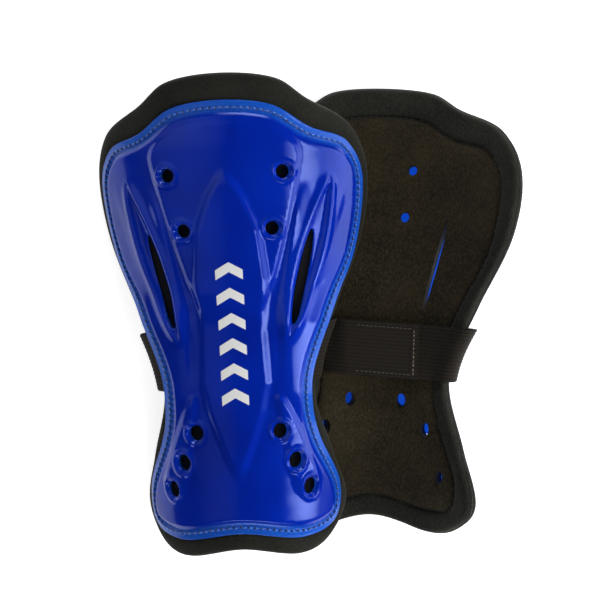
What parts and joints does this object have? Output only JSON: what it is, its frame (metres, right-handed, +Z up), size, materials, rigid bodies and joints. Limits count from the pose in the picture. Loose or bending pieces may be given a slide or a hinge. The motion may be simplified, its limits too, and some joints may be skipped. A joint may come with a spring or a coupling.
{
  "type": "pair of strap-on shin guards",
  "caption": "Pair of moulded-shell shin guards on padded foam, closed behind the calf by elastic straps with hook and loop, one lying shell up over the other.",
  "frame": {"origin": "middle of the bottom of the pair's box, on the surface that it lies on", "axes": "+Y towards the knee ends of both guards, +Z up off the surface, +X from the front guard towards the rear guard"},
  "size_m": [0.2207, 0.2522, 0.0681],
  "materials": {
    "shell_plastic": "moulded gloss PVC, blue",
    "printed_ink": "flat white ink",
    "face_fabric": "fine knit, dark grey-green",
    "foam": "closed-cell foam, matt black",
    "lining": "brushed knit, brown-black",
    "elastic": "ribbed elastic webbing, black",
    "hook_and_loop": "hook and loop pile, black",
    "blue_thread": "sewing thread, blue",
    "grey_thread": "sewing thread, grey"
  },
  "bodies": {
    "rear_guard": {"rear_shell": "shell_plastic", "rear_face_fabric": "face_fabric", "rear_foam_pad": "foam", "rear_lining": "lining", "rear_seam_thread": "blue_thread", "rear_printed_mark": "printed_ink", "rear_short_strap": "elastic", "rear_loop_patch": "hook_and_loop", "rear_long_strap": "elastic"},
    "front_guard": {"front_shell": "shell_plastic", "front_face_fabric": "face_fabric", "front_foam_pad": "foam", "front_lining": "lining", "front_seam_thread": "blue_thread", "front_printed_mark": "printed_ink", "front_short_strap": "elastic", "front_loop_patch": "hook_and_loop", "front_long_strap": "elastic"},
    "rear_tab": {"rear_strap_tab": "elastic", "rear_hook_patch": "hook_and_loop", "rear_tab_stitching": "grey_thread"},
    "front_tab": {"front_strap_tab": "elastic", "front_hook_patch": "hook_and_loop", "front_tab_stitching": "grey_thread"}
  },
  "joints": [
    {"name": "front_lift", "type": "slide", "parent": "rear_guard", "child": "front_guard", "axis": [0, 0, 1], "range_m": [0, 0.12]},
    {"name": "rear_tab_peel", "type": "hinge", "parent": "rear_guard", "child": "rear_tab", "pos_m": [0.0247, -0.01659, 0.0303], "axis": [-0.0262, -0.9997, 0.0021], "range_deg": [0, 100]},
    {"name": "front_tab_peel", "type": "hinge", "parent": "front_guard", "child": "front_tab", "pos_m": [-0.02218, -0.01828, 0.02756], "axis": [0.0522, -0.9959, -0.0739], "range_deg": [0, 34]}
  ]
}
